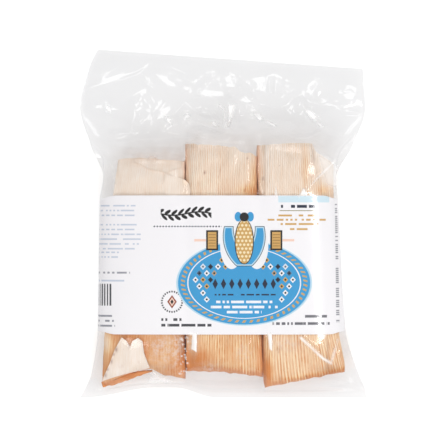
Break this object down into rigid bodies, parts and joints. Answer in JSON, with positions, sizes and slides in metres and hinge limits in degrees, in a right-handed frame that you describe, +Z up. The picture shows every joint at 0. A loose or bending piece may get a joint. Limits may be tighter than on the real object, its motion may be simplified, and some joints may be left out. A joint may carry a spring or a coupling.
{
  "type": "bag of tamales",
  "caption": "Clear sealed film bag filled with tamales in corn husks, lying flat, with an opaque printed band round its middle and an empty header at the top.",
  "frame": {"origin": "centre of the pack's bounding box, at its base on the surface that it rests on", "axes": "+X across the bag to the right of the printed front, +Y from the bottom seal to the empty header, +Z up through the printed front"},
  "size_m": [0.217, 0.263, 0.036],
  "materials": {
    "filled_film": "glossy clear film over pale tan corn husk",
    "printed_film": "opaque white print with blue, gold and dark shapes under a satin gloss",
    "clear_film": "thin clear crinkled film",
    "corn_husk": "dry matt ribbed leaf, cream to tan"
  },
  "bodies": {
    "root": {"bag": "filled_film", "band": "printed_film"}
  },
  "joints": []
}
